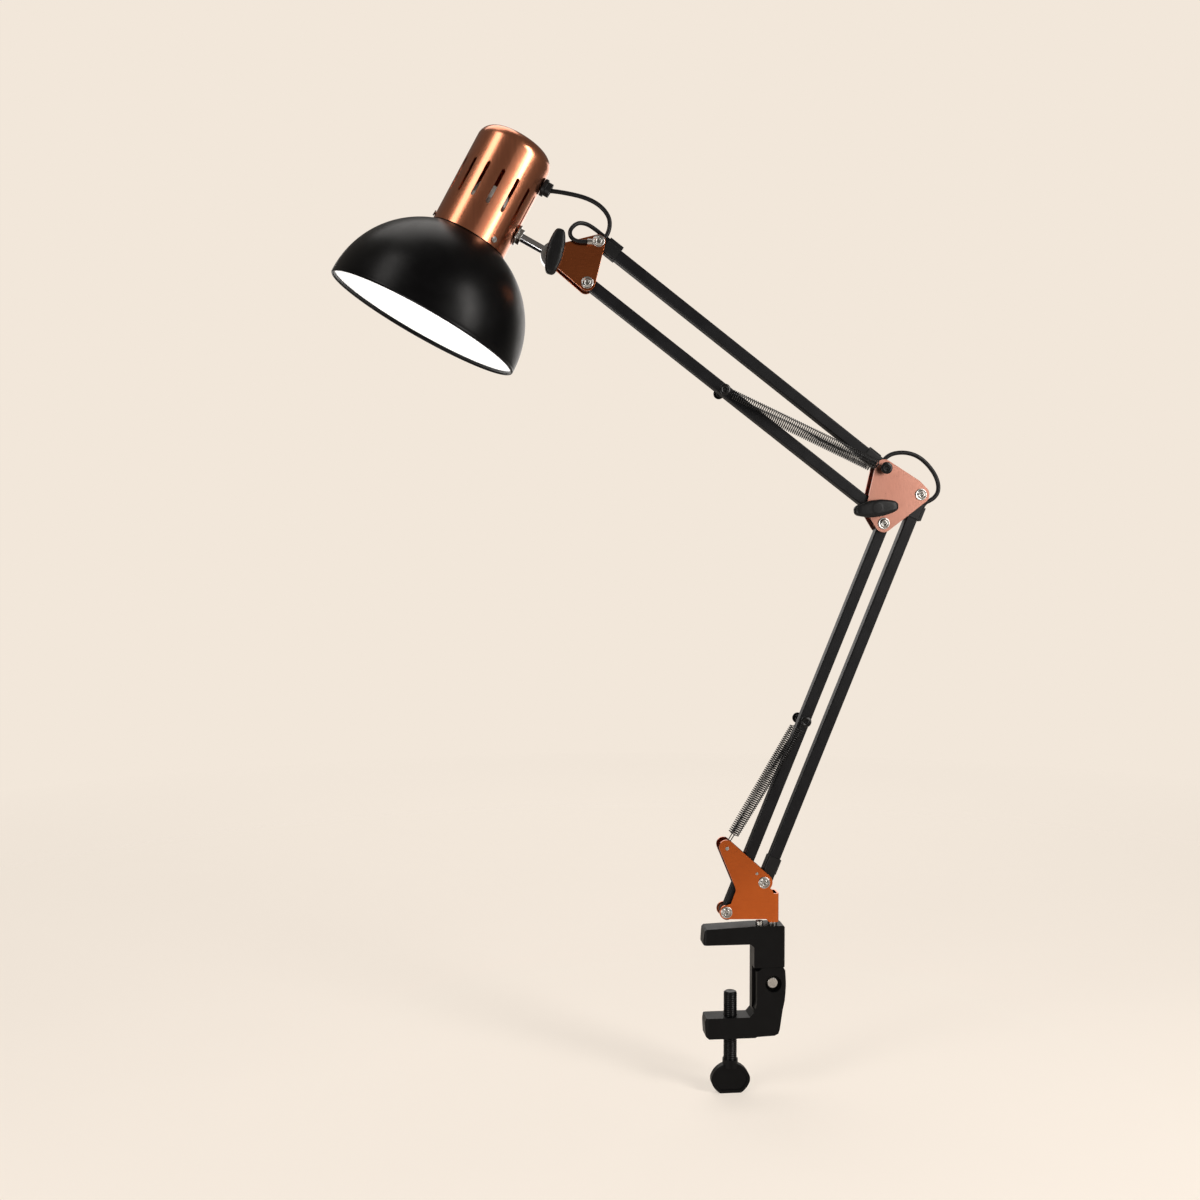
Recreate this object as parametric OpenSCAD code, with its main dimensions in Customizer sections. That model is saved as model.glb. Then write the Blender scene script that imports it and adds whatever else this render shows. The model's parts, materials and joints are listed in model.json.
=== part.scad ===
// Architect desk lamp: desk clamp, two parallelogram arms with balance springs, tilting dome head.
// Origin: on the desk top, on the clamp screw's axis. +X runs from the jaw's tip to its spine,
// +Z is up, and the arms move in the plane y = 0. Millimetres.

/* [Arms] */
// Pivot to pivot length of the lower arm
lower_len = 350; // [345:1:355]
// Pivot to pivot length of the upper arm
upper_len = 301; // [296:1:306]
// Lean of the lower arm above the horizontal, in degrees
lower_angle = 67.8; // [66:0.1:70]
// Heading of the upper arm from elbow to head, in degrees
upper_angle = 142.7; // [141:0.1:145]
// Outer width of the square arm tubes
tube_w = 9.5; // [9:0.1:9.8]
// Wall of the square arm tubes
tube_wall = 0.8; // [0.6:0.1:1]
// Outer width of the plastic sleeves on the tube ends
sleeve_w = 11; // [10.8:0.1:11.1]

/* [Brackets] */
// Distance between the inner faces of a bracket's two plates
plate_gap = 11.4; // [11.3:0.1:11.8]
// Thickness of the bracket plates
plate_t = 1.5; // [1.2:0.1:1.6]
// Radius of the pivot bolts' shanks
bolt_r = 2.2; // [2:0.1:2.4]

/* [Clamp] */
// Front to back depth of the clamp castings
clamp_w = 18; // [17:1:20]
// Height of the jaw opening
jaw_open = 61.5; // [60:0.5:63]
// Radius of the clamp screw's thread
screw_r = 5.7; // [5.5:0.1:5.9]
// Radius of the swivel pin
swivel_r = 4; // [3.8:0.1:4.1]

/* [Head] */
// Outer radius of the dome
shade_r = 81.8; // [81:0.1:83]
// Wall of the shade
shade_wall = 0.9; // [0.8:0.1:1]
// Outer radius of the ventilated cap
cap_r = 32.2; // [32:0.5:33]
// Wall of the cap
cap_wall = 0.9; // [0.8:0.1:1]
// Number of vent slots round the cap
slot_count = 15; // [13:2:17]
// Lean of the shade's axis from the vertical, in degrees
head_lean = 28; // [27:0.5:29]

/* [Springs and cord] */
// Outer diameter of the balance springs
spring_d = 8; // [7.5:0.5:8]
// Diameter of the round lamp cord
cord_d = 3.6; // [3.4:0.1:3.8]

/* [Hidden] */
$fn = 48;

// A point at distance r and angle a in the x-z plane
function polar(a, r) = [r * cos(a), r * sin(a)];

// Pivots, as [x, z]. a and b carry the lower arm, u and l the upper one.
a0 = [-4.9, 27.1];
b0 = a0 + polar(37.3, 40);
a1 = a0 + polar(lower_angle, lower_len);
b1 = b0 + polar(lower_angle, lower_len);
u1 = a1 + [0.2, 45.8];
l1 = a1 + [-9.1, 12.2];
u0 = u1 + polar(upper_angle, upper_len);
l0 = l1 + polar(upper_angle, upper_len);
tilt = u0 + [-35.8, -11.1];

// Brackets
plate_in = plate_gap / 2;
plate_out = plate_in + plate_t;
anchor = [-4.4, 80.6];
tip = [-5.2, 81.8];
tip_r = 5.9;
rivet_at = b0 + [-6, 7.6];
web_x = 40;
fold_r = 3;
bracket_foot = 17.8;
fold_top = 41.8;

// Tubes
// The pivot holes sit this far to one side of the tubes' centre lines
tube_off = 1.6;
// Tube past its pivot: inside a bracket, and at the base
end_short = 2.9;
end_long = 4;
sleeve_len = 22;
tube_bore = tube_w - 2 * tube_wall;

// Springs
pin_half = 14.9;
spring_y = 9.6;
spring_y_elbow = 11.6;
pin_a = a0 + polar(lower_angle, lower_len * 0.492);
pin_l = l1 + polar(upper_angle, upper_len * 0.53);
wire = 1;

// Clamp
spine_x0 = 18.4;
spine_x1 = 44.8;
jaw_tip = -24.6;
lap_z = -20;
tongue_end = -55;
jaw_low_t = 17.5;
swivel_x = 35.8;
lock_at = [23.7, -4];
clamp_bolt_at = [35, -34];

// Head: the shade's frame has its origin at the middle of the opening, +Z up its axis
rim_at = [-254.2, 510.7];
dome_z = 2.4;
neck_z = 78;
cap_top = 168;
cap_corner = 12;
slot_z0 = 104;
slot_z1 = 134;
slot_w = 3;
stem_r = 3.5;
eye_r = 11;
eye_w = 8;
gland_z = 145.5;
cap_screw_az = -50;
cap_screw_z = 82.9;
socket_r = 13.4;
to_tilt = [tilt.x - rim_at.x, tilt.y - rim_at.y];
// Height of the tilt pivot up the shade's axis, and its distance out from that axis
stem_z = to_tilt.x * sin(head_lean) + to_tilt.y * cos(head_lean);
stem_out = to_tilt.x * cos(head_lean) - to_tilt.y * sin(head_lean);

// Cord routes, as [x, y, z]
head_route = [
    [-151.4, 0, 620.7], [-147.5, 0, 620.5], [-142.8, 0, 620], [-136, 0, 619], [-129.2, 0, 617.7],
    [-123, 0, 616.1], [-117, 0, 613.8], [-112, 0, 611], [-107.7, 0, 607.5], [-104.5, 0, 603.5],
    [-102.6, 0, 599.5], [-102.1, -0.2, 595.4], [-102.6, -1, 591.2], [-103.9, -1.7, 587.2],
    [-105.3, -1.9, 584.7], [-106.3, -1.9, 583.4]
];
earth_route = [
    [-102.3, 2, 582.4], [-106, 2, 585.2], [-110, 1.8, 588.2], [-113.6, 1.4, 590.8],
    [-117, 0.8, 592.9], [-120.4, 0, 594.4], [-123.8, -1, 595], [-127.2, -2.2, 594.8],
    [-130.4, -3.6, 593.2], [-133, -5, 590.6], [-134.8, -6.5, 587.4], [-135.1, -8, 584],
    [-133.8, -9.3, 580.9], [-131, -10, 578.8], [-127.4, -9.9, 578], [-124, -9.9, 577.9],
    [-118.6, -9.9, 577.9]
];
elbow_route = [
    [129.4, 0, 404.1], [131.4, 0, 406.6], [135.3, 0, 409.1], [140.2, 0, 410.5], [145.6, 0, 410.9],
    [150.8, 0, 410.4], [156, 0, 408.9], [161, 0, 406.3], [165.7, 0, 402.5], [170.1, 0, 397.7],
    [173.8, 0, 392.2], [176.2, 0, 386.3], [176.8, 0, 381], [175.8, 0, 376.8], [173, 0, 373.2],
    [169.4, 0, 370.8], [166.2, 0, 369.2], [165.3, 0, 366.3], [164.6, 0, 364.2]
];

// ---------- shared shapes ----------

// Cylinder of radius r along Y at the x-z point p, from y0 to y1
module ycyl(p, r, y0, y1) {
    translate([p.x, y1, p.y]) rotate([90, 0, 0]) cylinder(r = r, h = y1 - y0);
}

// Extrudes a 2-D outline drawn in x-z from y0 to y1
module slab(y0, y1) {
    translate([0, y1, 0]) rotate([90, 0, 0]) linear_extrude(y1 - y0) children();
}

// Places children at the x-z point p with +X along the heading a
module heading(p, a) {
    translate([p.x, 0, p.y]) rotate([0, -a, 0]) children();
}

// Outward unit normal of the outer tangent from circle p to circle q, each [x, z, r]
function side_normal(p, q) =
    let (
        d = [q.x - p.x, q.y - p.y],
        len = norm(d),
        u = d / len,
        c = (p.z - q.z) / len,
        s = sqrt(1 - c * c)
    )
    [u.x * c + u.y * s, u.y * c - u.x * s];

// Convex plate outline round circles [x, z, r] listed counter-clockwise
module round_outline(rings) {
    count = len(rings);
    for (g = rings) translate([g.x, g.y]) circle(r = g.z);
    polygon([
        for (i = [0:count - 1])
            let (p = rings[i], q = rings[(i + 1) % count], n = side_normal(p, q))
            for (g = [p, q]) [g.x + n.x * g.z, g.y + n.y * g.z]
    ]);
}

// Square with rounded corners, centred
module round_square(w, r) {
    square([w - 2 * r, w], center = true);
    square([w, w - 2 * r], center = true);
    for (sx = [-1, 1], sy = [-1, 1]) translate([sx * (w / 2 - r), sy * (w / 2 - r)]) circle(r = r);
}

// Square tube along +X from x0 to x1, with pivot holes along Y at each x in holes
module square_tube(x0, x1, holes) {
    difference() {
        translate([x0, 0, -tube_off]) rotate([90, 0, 90]) linear_extrude(x1 - x0) difference() {
            round_square(tube_w, 1.2);
            round_square(tube_bore, 0.6);
        }
        for (x = holes) ycyl([x, 0], bolt_r + 0.05, -tube_w, tube_w);
    }
}

// Plastic sleeve round a tube end, along +X from x0 to x1, holed along Y at x = 0, with a
// hood for the cord on its outer side, hood tall
module end_sleeve(x0, x1, hood, hood_x0, hood_x1) {
    difference() {
        translate([x0, 0, -tube_off]) rotate([90, 0, 90]) linear_extrude(x1 - x0) difference() {
            round_square(sleeve_w, 1.6);
            round_square(tube_w + 0.1, 1.25);
        }
        ycyl([0, 0], bolt_r + 0.05, -sleeve_w, sleeve_w);
    }
    translate([hood_x0, -4, -tube_off - sleeve_w / 2 - hood]) cube([hood_x1 - hood_x0, 8, hood + 0.4]);
}

// Plug in a tube end, along +X from the tube's end outwards, notched at radius r round a bolt
// that lies back from the end and up from the plug's middle; a short nose is flush
module end_plug(nose, back, up, r) {
    side = tube_bore - 0.4;
    difference() {
        translate([-1.2, 0, 0]) cube([2.4, side, side], center = true);
        ycyl([-back, up], r, -tube_w, tube_w);
    }
    slab(-tube_w / 2, tube_w / 2) intersection() {
        translate([nose - 5.4, 0]) circle(r = 5.4);
        translate([0, -tube_w / 2]) square([nose, tube_w]);
    }
}

// Hollow pivot bolt at p: washer and rolled head in front, shank through to its nut behind
module pivot_bolt(p, lift = 0) {
    face = -plate_out - lift;
    difference() {
        union() {
            ycyl(p, bolt_r, face - 0.9, plate_out + 4.6);
            ycyl(p, 4.9, face - 0.8, face);
            ycyl(p, 3.5, face - 1.9, face - 0.8);
        }
        ycyl(p, 1.5, face - 3, face + 0.4);
    }
}

// Hexagon nut at p behind the back plate
module pivot_nut(p) {
    difference() {
        ycyl_hex(p, 4.1, plate_out + 0.1, plate_out + 3.6);
        ycyl(p, bolt_r + 0.02, plate_out - 1, plate_out + 6);
    }
}

// Hexagonal prism along Y, r across corners
module ycyl_hex(p, r, y0, y1) {
    translate([p.x, y1, p.y]) rotate([90, 0, 0]) cylinder(r = r, h = y1 - y0, $fn = 6);
}

// Two washers at p that fill the gaps between the plates and a part of the given width
module gap_washers(p, width, r_out = 4.4, r_in = bolt_r + 0.05) {
    near = width / 2 + 0.05;
    far = plate_in - 0.05;
    difference() {
        union() {
            ycyl(p, r_out, -far, -near);
            ycyl(p, r_out, near, far);
        }
        ycyl(p, r_in, -plate_out, plate_out);
    }
}

// Cross pin at p with an end disc at each end, its discs' outer faces at +-half
module spring_pin(p, half, r = 2, disc_r = 4.6) {
    ycyl(p, r, -half, half);
    for (s = [-1, 1]) {
        ycyl(p, disc_r, min(s * half, s * (half - 1.6)), max(s * half, s * (half - 1.6)));
    }
}

// Spring body between two x-z points at depths y0 and y1, set back from each end, with end hooks
module spring(p, q, y0, y1, set_p, set_q) {
    d = [q.x - p.x, y1 - y0, q.y - p.y];
    span = norm(d);
    azimuth = atan2(d.y, d.x);
    polar_angle = acos(d.z / span);
    translate([p.x, y0, p.y]) rotate([0, polar_angle, azimuth]) {
        translate([0, 0, set_p]) difference() {
            cylinder(d = spring_d, h = span - set_p - set_q);
            translate([0, 0, -1]) cylinder(d = spring_d - 2 * wire, h = span);
        }
        hook(set_p, 1);
        translate([0, 0, span]) hook(set_q, -1);
    }
}

// Wire hook: an eye round the origin and a shank of the given length along dir * Z
module hook(length, dir) {
    eye = 2.9;
    rotate([90, 0, 0]) rotate_extrude() translate([eye, 0]) circle(d = wire);
    translate([0, 0, dir > 0 ? eye : -length - 0.6]) cylinder(d = wire, h = length - eye + 0.6);
    translate([0, 0, dir * (length + 0.5)]) rotate([0, 90, 0]) translate([0, 0, -spring_d / 2 + 0.4])
        cylinder(d = wire, h = spring_d - 0.8);
}

// Wing nut along -Y: round hub and two blunt wings, its seat at y = 0
module wing_nut_shape(hub_r, span, depth) {
    difference() {
        union() {
            rotate([90, 0, 0]) cylinder(r1 = hub_r, r2 = hub_r - 1.2, h = depth);
            slab(-depth + 1.5, -1.8) {
                round_outline([
                    [-span / 2 + 4, 0, 4], [0, -hub_r + 2.6, 1.2], [span / 2 - 4, 0, 4],
                    [0, hub_r - 2.6, 1.2]
                ]);
            }
        }
        ycyl([0, 0], 2.55, -depth + 3, 1);
    }
}

// Washer or ring round +Z
module ring(r_out, r_in, h) {
    difference() {
        cylinder(r = r_out, h = h);
        translate([0, 0, -1]) cylinder(r = r_in, h = h + 2);
    }
}

// Round cord swept along a route: rings of corners square to the path, joined in turn
function along(route, i) =
    let (last = len(route) - 1, d = route[min(i + 1, last)] - route[max(i - 1, 0)]) d / norm(d);
function ring_points(c, t, r, sides) =
    let (v = cross(t, [0, 1, 0]), side = v / norm(v), up = cross(side, t))
    [for (k = [0:sides - 1]) c + r * (cos(360 * k / sides) * side + sin(360 * k / sides) * up)];
module cord_run(route, r, sides = 8) {
    last = len(route) - 1;
    points = [for (i = [0:last]) each ring_points(route[i], along(route, i), r, sides)];
    walls = [
        for (i = [0:last - 1], k = [0:sides - 1])
            let (m = (k + 1) % sides)
            [i * sides + k, i * sides + m, (i + 1) * sides + m, (i + 1) * sides + k]
    ];
    caps = [
        [for (k = [sides - 1:-1:0]) k],
        [for (k = [0:sides - 1]) last * sides + k]
    ];
    polyhedron(points, concat(walls, caps));
}

// ---------- clamp ----------

// Plan of a clamp casting: rounded at the jaw's tip and at the spine's back
module clamp_plan(x0, x1, r0, r1) {
    half = clamp_w / 2;
    translate([x0 + r0, -half]) square([x1 - r1 - x0 - r0, clamp_w]);
    translate([x0, -half + r0]) square([r0 + 1, clamp_w - 2 * r0]);
    translate([x1 - r1 - 1, -half + r1]) square([r1 + 1, clamp_w - 2 * r1]);
    for (s = [-1, 1]) {
        translate([x0 + r0, s * (half - r0)]) circle(r = r0);
        translate([x1 - r1, s * (half - r1)]) circle(r = r1);
    }
}

module clamp_upper() {
    half = clamp_w / 2;
    color([0.07, 0.07, 0.075]) difference() {
        intersection() {
            union() {
                slab(-half, half) {
                    polygon([
                        [jaw_tip, 0.8], [jaw_tip + 0.8, 0], [15.6, 0], [spine_x0, -2.8], [spine_x0, lap_z],
                        [spine_x1, lap_z], [spine_x1, 13.4], [43.2, 15], [18, 15], [jaw_tip + 3, 13.4],
                        [jaw_tip + 1.2, 12]
                    ]);
                }
                slab(0.1, half) {
                    polygon([
                        [spine_x0, lap_z + 1], [spine_x0, tongue_end], [42.6, tongue_end],
                        [spine_x1, lap_z + 1]
                    ]);
                }
            }
            translate([0, 0, tongue_end - 1]) linear_extrude(20 - tongue_end)
                clamp_plan(jaw_tip, spine_x1, 3.6, 2.4);
        }
        translate([swivel_x, 0, -15]) cylinder(r = swivel_r + 0.05, h = 40);
        translate([lock_at.x, lock_at.y, 6]) cylinder(r = 2.05, h = 20);
        ycyl(clamp_bolt_at, 3.05, -2, half + 2);
        ycyl_hex(clamp_bolt_at, 5.9, 5, half + 2);
    }
}

module clamp_lower() {
    half = clamp_w / 2;
    jaw_z = -jaw_open;
    low_z = jaw_z - jaw_low_t;
    color([0.07, 0.07, 0.075]) difference() {
        intersection() {
            union() {
                slab(-half, -0.1) {
                    polygon([
                        [20.8, -24], [25.2, lap_z - 0.2], [43.4, lap_z - 0.2], [45, -23], [46, -35],
                        [44.6, -48], [42.6, tongue_end - 2], [spine_x0 + 0.6, tongue_end - 2], [20.8, -50]
                    ]);
                }
                slab(-half, half) {
                    polygon([
                        [spine_x0, tongue_end - 0.2], [42.9, tongue_end - 0.2], [40.4, -72.5],
                        [39.2, -76], [36, -77.6], [21, -78.2], [19.6, low_z], [-19.5, low_z],
                        [-22, low_z + 2], [-23, jaw_z - 4], [-21.8, jaw_z], [15, jaw_z],
                        [spine_x0, jaw_z + 4]
                    ]);
                }
            }
            translate([0, 0, -90]) linear_extrude(80) clamp_plan(-23, 46, 4, 2.4);
        }
        translate([0, 0, low_z - 5]) cylinder(r = screw_r + 0.06, h = jaw_low_t + 10);
        ycyl(clamp_bolt_at, 3.05, -half - 2, 2);
        ycyl(clamp_bolt_at, 7, -half - 2, -3.2);
    }
}

module clamp_bolt() {
    color("silver") {
        ycyl(clamp_bolt_at, 3, -3.6, 9.4);
        ycyl(clamp_bolt_at, 5.8, -4.2, -3.25);
        translate([clamp_bolt_at.x, -4.2, clamp_bolt_at.y]) rotate([90, 0, 0])
            cylinder(r1 = 5.8, r2 = 4.2, h = 1.5);
    }
}

module clamp_bolt_nut() {
    color("silver") difference() {
        ycyl_hex(clamp_bolt_at, 5.7, 5.1, 9.1);
        ycyl(clamp_bolt_at, 3.02, 4, 11);
    }
}

module lock_screw() {
    color("silver") translate([lock_at.x, lock_at.y, 0]) {
        translate([0, 0, 7]) cylinder(r = 2, h = 9);
        difference() {
            translate([0, 0, 15.05]) cylinder(r = 3.3, h = 3.5);
            translate([0, 0, 18.4]) rotate([0, 0, 30]) cube([10, 1, 1.4], center = true);
        }
    }
}

module clamp_screw() {
    color([0.06, 0.06, 0.065]) {
        translate([0, 0, -98.6]) cylinder(r = screw_r, h = 56.2);
        translate([0, 0, -42.5]) cylinder(r1 = screw_r, r2 = screw_r - 1.2, h = 1.2);
        translate([0, 0, -100.6]) cylinder(r = screw_r - 0.7, h = 3);
    }
}

// Oval of the thumb key's blade: an arc above and one below, cut flat at its foot
module key_oval(inset) {
    intersection() {
        translate([0, -112.4]) circle(r = 17.2 - inset);
        translate([0, -119]) circle(r = 17.2 - inset);
        translate([-16.5 + inset, -127.2 + inset]) square([33 - 2 * inset, 30]);
    }
}

module thumb_key() {
    color([0.05, 0.05, 0.055]) difference() {
        union() {
            translate([0, 0, -105.6]) cylinder(r = 6.5, h = 7);
            slab(-2.4, 2.4) key_oval(0.6);
            slab(-3.2, 3.2) difference() {
                key_oval(0);
                key_oval(2.4);
            }
        }
        translate([0, 0, -100.65]) cylinder(r = screw_r - 0.65, h = 4);
    }
}

// ---------- base bracket ----------

// Outline of one base plate, up to the fold
module base_outline() {
    round_outline([[tip.x, tip.y, tip_r], [b0.x - 8, b0.y + 2, 6.3], [b0.x, b0.y, 7.2]]);
    translate(a0) circle(r = 5.8);
    polygon([
        [tip.x - 5.5, tip.y - 2.2], [2.4, 48], [3, 45.2], [-1, 34.4], [a0.x - 3.8, a0.y + 4.4],
        [a0.x - 0.4, a0.y - 5.8], [29, 20.5], [31.6, bracket_foot], [web_x - fold_r, bracket_foot],
        [web_x - fold_r, fold_top], [35.2, fold_top], [33.6, 45.2], [b0.x, b0.y], [tip.x + 4, tip.y - 2]
    ]);
}

// Plan of the rounded fold that joins the two plates
module fold_plan() {
    x0 = web_x - fold_r;
    y0 = plate_out - fold_r;
    difference() {
        union() {
            translate([x0 - 0.5, -plate_out]) square([0.5, 2 * plate_out]);
            translate([x0, -y0]) square([fold_r, 2 * y0]);
            for (s = [-1, 1]) translate([x0, s * y0]) circle(r = fold_r);
        }
        translate([x0 - fold_r, -plate_in]) square([fold_r, 2 * plate_in]);
        translate([x0 - 1, -y0]) square([1 + fold_r - plate_t, 2 * y0]);
        for (s = [-1, 1]) translate([x0, s * y0]) circle(r = fold_r - plate_t);
    }
}

module base_bracket() {
    color([0.72, 0.36, 0.18]) difference() {
        union() {
            slab(-plate_out, -plate_in) base_outline();
            slab(plate_in, plate_out) base_outline();
            translate([0, 0, bracket_foot]) linear_extrude(fold_top - bracket_foot) fold_plan();
        }
        for (p = [a0, b0]) ycyl(p, bolt_r + 0.05, -20, 20);
        ycyl(anchor, 1.65, -20, 20);
        ycyl(rivet_at, 1.25, -20, 20);
    }
}

// Stepped pin: the thick part turns in the clamp, the thin one is welded inside the fold
module swivel_pin() {
    thin_r = 2.5;
    color("silver") {
        translate([swivel_x, 0, -14]) cylinder(r = swivel_r, h = bracket_foot + 13.8);
        translate([swivel_x, 0, 16]) cylinder(r = thin_r, h = 22);
        translate([swivel_x, -1.5, bracket_foot + 1]) cube([web_x - plate_t - swivel_x, 3, 18]);
    }
}

module base_pivot_bolts() {
    color("silver") for (p = [a0, b0]) pivot_bolt(p);
}

module base_pivot_nuts() {
    color("silver") for (p = [a0, b0]) pivot_nut(p);
}

module base_washers() {
    color([0.85, 0.85, 0.83]) gap_washers(a0, tube_w);
}

// Spring anchor across the plates, and a small rivet in each plate
module base_cross_pins() {
    color("silver") {
        ycyl(anchor, 1.6, -plate_out - 0.3, plate_out + 0.3);
        ycyl(rivet_at, 1.2, -plate_out - 0.2, -plate_in + 0.4);
        ycyl(rivet_at, 1.2, plate_in - 0.4, plate_out + 0.2);
    }
}

// ---------- lower arm ----------

module lower_tube_a() {
    color([0.07, 0.07, 0.075]) heading(a0, lower_angle) difference() {
        square_tube(-end_long, lower_len + end_short, [0, lower_len]);
        ycyl([lower_len * 0.492, 0], 2.05, -10, 10);
    }
}

module lower_tube_a_plugs() {
    color([0.1, 0.1, 0.1]) heading(a0, lower_angle) {
        translate([-end_long, 0, -tube_off]) rotate([0, 180, 0])
            end_plug(2.6, end_long, -tube_off, bolt_r + 1);
        translate([lower_len + end_short, 0, -tube_off]) end_plug(0.3, end_short, tube_off, bolt_r + 0.3);
    }
}

module lower_spring_pin() {
    color([0.08, 0.08, 0.08]) spring_pin(pin_a, pin_half);
}

module lower_tube_b() {
    color([0.07, 0.07, 0.075]) heading(b0, lower_angle) difference() {
        square_tube(-end_long, lower_len + end_short, [0, lower_len]);
        translate([lower_len - 15, 0, -tube_off - tube_w]) cylinder(r = 2, h = tube_w);
    }
}

module lower_tube_b_sleeves() {
    color([0.09, 0.09, 0.09]) {
        heading(b0, lower_angle) end_sleeve(-end_long - 1, sleeve_len, 0.6, 9, sleeve_len);
        heading(b1, lower_angle) end_sleeve(-20, -6, 2.4, -20, -8.6);
    }
}

module lower_spring_front() {
    color([0.1, 0.1, 0.1]) spring(anchor, pin_a, -3.2, -spring_y, 12, 7);
}

module lower_spring_back() {
    color([0.1, 0.1, 0.1]) spring(anchor, pin_a, 3.2, spring_y, 12, 7);
}

// ---------- elbow ----------

module elbow_outline() {
    round_outline([
        [l1.x, l1.y, 6], [a1.x, a1.y, 7.4], [b1.x, b1.y, 7.4], [b1.x - 2.6, b1.y + 9.6, 2.4],
        [u1.x, u1.y, 7.6]
    ]);
}

module elbow_plate(y0) {
    color([0.78, 0.47, 0.37]) difference() {
        slab(y0, y0 + plate_t) elbow_outline();
        for (p = [a1, b1]) ycyl(p, bolt_r + 0.05, -20, 20);
        ycyl(l1, 2.55, -20, 20);
        ycyl(u1, 2.05, -20, 20);
    }
}

module elbow_plate_front() {
    elbow_plate(-plate_out);
}

module elbow_plate_back() {
    elbow_plate(plate_in);
}

module elbow_pivot_bolts() {
    color("silver") for (p = [a1, b1]) pivot_bolt(p);
}

module elbow_pivot_nuts() {
    color("silver") for (p = [a1, b1]) pivot_nut(p);
}

module elbow_washers() {
    color([0.85, 0.85, 0.83]) {
        for (p = [a1, b1, u1]) gap_washers(p, tube_w);
        gap_washers(l1, tube_w, 4.6, 2.55);
    }
}

module elbow_spring_pin() {
    color([0.08, 0.08, 0.08]) spring_pin(u1, 14.6, 2, 5);
}

// Bolt for a wing nut: domed head behind, thread out in front, fixed washer under the nut
module wing_bolt(p) {
    ycyl(p, 2.5, -plate_out - 10, plate_out + 1);
    ycyl(p, 6, -plate_out - 1, -plate_out - 0.05);
    translate([p.x, plate_out, p.y]) rotate([-90, 0, 0]) cylinder(r1 = 5.6, r2 = 3.4, h = 2.4);
}

module elbow_wing_bolt() {
    color("silver") wing_bolt(l1);
}

module elbow_wing_nut() {
    color([0.05, 0.05, 0.055]) translate([l1.x, -plate_out - 1.2, l1.y]) rotate([0, -7, 0])
        wing_nut_shape(7, 37, 12);
}

// ---------- upper arm ----------

module upper_tube_u() {
    color([0.07, 0.07, 0.075]) heading(u1, upper_angle) difference() {
        square_tube(-end_short, upper_len + end_short, [upper_len]);
        ycyl([0, 0], 2.05, -10, 10);
        translate([2.9, 0, -tube_off - tube_w]) cylinder(r = 2, h = tube_w);
        translate([upper_len - 2.2, -1.9, -tube_off - tube_w]) cylinder(r = 1.95, h = tube_w);
    }
}

module upper_tube_u_sleeves() {
    color([0.09, 0.09, 0.09]) {
        heading(u1, upper_angle) end_sleeve(5.4, 19.5, 0.8, 8, 19.5);
        heading(u0, upper_angle) end_sleeve(-19, -6, 2.6, -19, -6);
    }
}

module upper_tube_l() {
    color([0.07, 0.07, 0.075]) heading(l1, upper_angle) difference() {
        square_tube(-end_short, upper_len + end_short, [upper_len]);
        ycyl([0, 0], 2.55, -10, 10);
        ycyl([upper_len * 0.53, 0], 2.05, -10, 10);
    }
}

module upper_tube_l_plugs() {
    color([0.1, 0.1, 0.1]) heading(l1, upper_angle) {
        translate([-end_short, 0, -tube_off]) rotate([0, 180, 0])
            end_plug(0.3, end_short, -tube_off, 2.8);
        translate([upper_len + end_short, 0, -tube_off]) end_plug(0.3, end_short, tube_off, bolt_r + 0.3);
    }
}

module upper_spring_pin() {
    color([0.08, 0.08, 0.08]) spring_pin(pin_l, pin_half);
}

module upper_spring_front() {
    color([0.1, 0.1, 0.1]) spring(u1, pin_l, -spring_y_elbow, -spring_y, 7, 7);
}

module upper_spring_back() {
    color([0.1, 0.1, 0.1]) spring(u1, pin_l, spring_y_elbow, spring_y, 7, 7);
}

// ---------- head bracket ----------

module head_plate(y0) {
    color([0.5, 0.24, 0.12]) difference() {
        slab(y0, y0 + plate_t)
            round_outline([[tilt.x, tilt.y, 7], [l0.x, l0.y, 6.6], [u0.x, u0.y, 5.6]]);
        for (p = [u0, l0]) ycyl(p, bolt_r + 0.05, -20, 20);
        ycyl(tilt, 2.55, -20, 20);
    }
}

module head_plate_front() {
    head_plate(-plate_out);
}

module head_plate_back() {
    head_plate(plate_in);
}

module head_pivot_bolts() {
    color("silver") {
        pivot_bolt(u0, 0.7);
        pivot_bolt(l0);
    }
}

module head_pivot_nuts() {
    color("silver") for (p = [u0, l0]) pivot_nut(p);
}

// Plain washers at the pivots and two wide friction washers at the tilt joint
module head_washers() {
    color([0.85, 0.85, 0.83]) {
        for (p = [u0, l0]) gap_washers(p, tube_w);
        gap_washers(tilt, eye_w, 9, 2.55);
    }
}

// Ring terminal under the upper pivot bolt's washer, with a crimped barrel for the earth lead
module earth_terminal() {
    barrel_z = 577.9;
    color("silver") difference() {
        union() {
            ycyl(u0, 4.8, -plate_out - 0.65, -plate_out - 0.05);
            translate([-118.6, -plate_out - 0.65, barrel_z - 1.8]) cube([5, 0.6, 3.6]);
            translate([-121.4, -plate_out - 2.7, barrel_z]) rotate([0, 90, 0]) cylinder(r = 2.4, h = 4);
        }
        ycyl(u0, bolt_r + 0.05, -20, 0);
        translate([-122, -plate_out - 2.7, barrel_z]) rotate([0, 90, 0]) cylinder(r = 1.85, h = 3.6);
    }
}

module head_wing_bolt() {
    color("silver") wing_bolt(tilt);
}

module head_wing_nut() {
    color([0.05, 0.05, 0.055]) translate([tilt.x, -plate_out - 1.2, tilt.y]) rotate([0, -76, 0])
        wing_nut_shape(7, 37, 12);
}

// ---------- head ----------

// The shade's own frame: origin at the middle of its opening, +Z up its axis
module head_frame() {
    translate([rim_at.x, 0, rim_at.y]) rotate([0, head_lean, 0]) children();
}

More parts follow.
